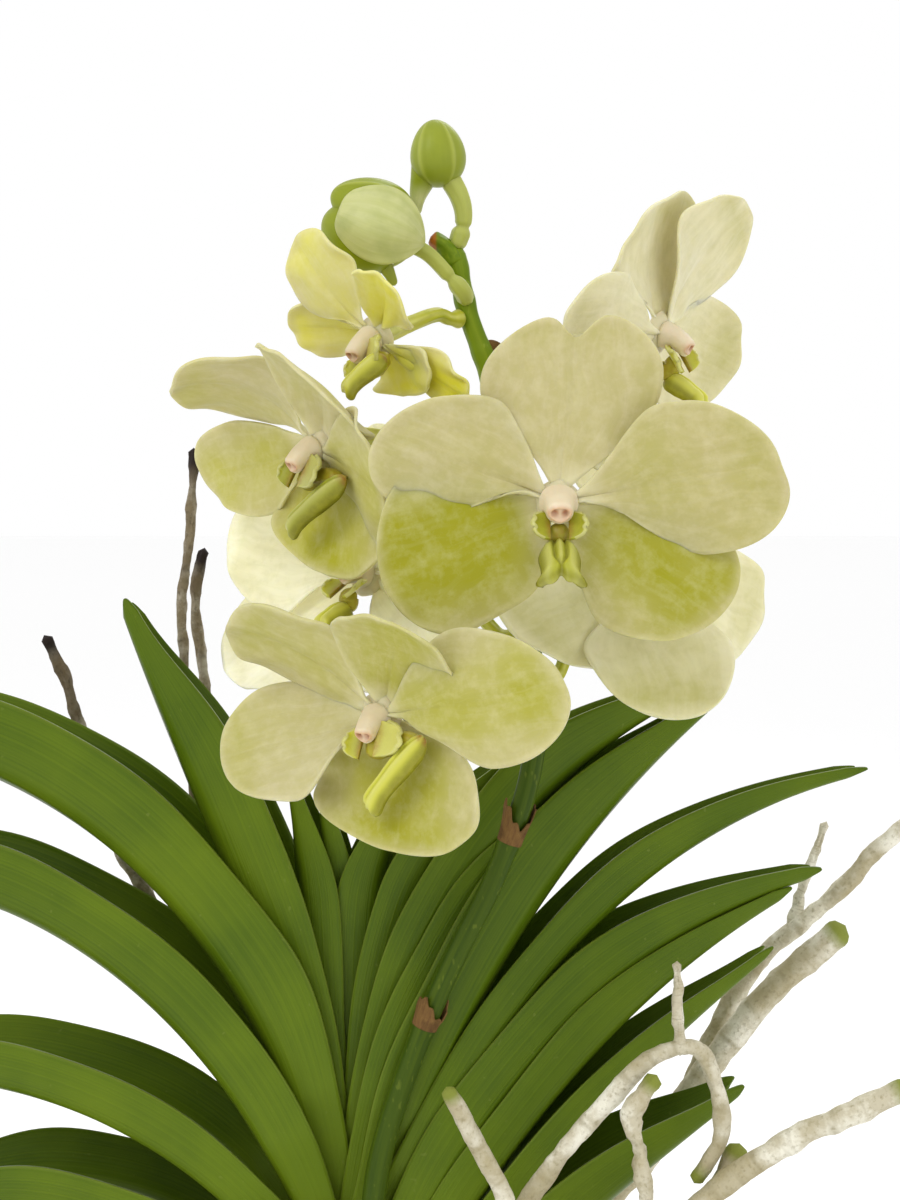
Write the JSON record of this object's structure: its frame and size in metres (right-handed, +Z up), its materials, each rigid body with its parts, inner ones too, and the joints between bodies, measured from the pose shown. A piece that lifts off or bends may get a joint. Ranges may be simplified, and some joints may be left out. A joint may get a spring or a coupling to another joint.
{
  "type": "vanda orchid in a glass vase",
  "caption": "Flowering vanda orchid with a fan of folded strap leaves, an upright flower spike, buds and thick aerial roots, standing bare-rooted in a flared glass vase.",
  "frame": {"origin": "centre of the vase's flat foot, on the surface it stands on", "axes": "+Z up along the vase's axis; -Y is the front, the side the blooms face; +X is to the right of someone who looks at the front"},
  "size_m": [0.367, 0.1865, 0.5921],
  "materials": {
    "glass": "clear, polished",
    "stem": "matt, fibrous",
    "leaf": "waxy, half gloss",
    "spike": "smooth, half gloss",
    "tepal": "soft, thin and slightly translucent",
    "lip": "fleshy, half gloss",
    "bud": "smooth, half gloss",
    "root": "matt and chalky",
    "root_dark": "matt, dried"
  },
  "bodies": {
    "root": {"vase": "glass", "stem": "stem", "leaf_01_left": "leaf", "leaf_02_right": "leaf", "leaf_03_left": "leaf", "leaf_04_right": "leaf", "leaf_05_left": "leaf", "leaf_06_right": "leaf", "leaf_07_left": "leaf", "leaf_08_right": "leaf", "leaf_09_right": "leaf", "leaf_10_left": "leaf", "leaf_11_right": "leaf", "leaf_12_left": "leaf", "leaf_13_right": "leaf", "leaf_14_right": "leaf", "leaf_15_left": "leaf", "leaf_16_right": "leaf", "leaf_17_left": "leaf", "leaf_18_right": "leaf", "leaf_19_left": "leaf", "flower_spike": "spike", "bloom_1": "tepal", "lip_1": "lip", "bloom_2": "tepal", "lip_2": "lip", "bloom_3": "tepal", "lip_3": "lip", "bloom_4": "tepal", "lip_4": "lip", "bloom_5": "tepal", "lip_5": "lip", "bloom_6": "tepal", "lip_6": "lip", "bloom_7": "tepal", "lip_7": "lip", "bud_1": "bud", "bud_2": "bud", "root_thick": "root", "root_long_right": "root", "root_arched": "root", "root_beaded": "root", "root_low_right": "root", "root_stub": "root", "root_pale_front": "root", "root_dark_left": "root_dark", "root_grey_left": "root_dark", "root_far_left": "root_dark", "root_in_vase_1": "root", "root_in_vase_2": "root", "root_in_vase_3": "root", "root_in_vase_4": "root", "root_in_vase_5": "root", "root_in_vase_6": "root"}
  },
  "joints": []
}
